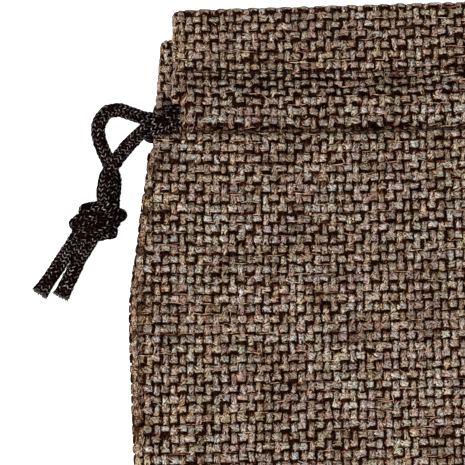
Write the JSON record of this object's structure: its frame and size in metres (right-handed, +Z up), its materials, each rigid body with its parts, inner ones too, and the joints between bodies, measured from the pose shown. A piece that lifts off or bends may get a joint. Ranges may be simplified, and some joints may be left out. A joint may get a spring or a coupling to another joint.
{
  "type": "small burlap drawstring pouch",
  "caption": "Small empty pouch of coarse brown burlap lying flat, its neck drawn by dark braided cords that are knotted at its sides.",
  "frame": {"origin": "on the surface the pouch lies on, under the middle of the cloth's outline", "axes": "+X across the pouch to the right, +Y along it to its mouth, +Z up out of its front"},
  "size_m": [0.12, 0.12, 0.0109],
  "materials": {
    "woven_cloth": "matte, coarse plain weave of mixed brown yarns",
    "braided_cord": "dark brown round braid with a light fleck"
  },
  "bodies": {
    "root": {"front_panel": "woven_cloth", "back_panel": "woven_cloth", "left_drawcord": "braided_cord", "right_drawcord": "braided_cord", "left_knot": "braided_cord", "right_knot": "braided_cord", "left_tail_1": "braided_cord", "left_tail_2": "braided_cord", "right_tail_1": "braided_cord", "right_tail_2": "braided_cord"}
  },
  "joints": []
}
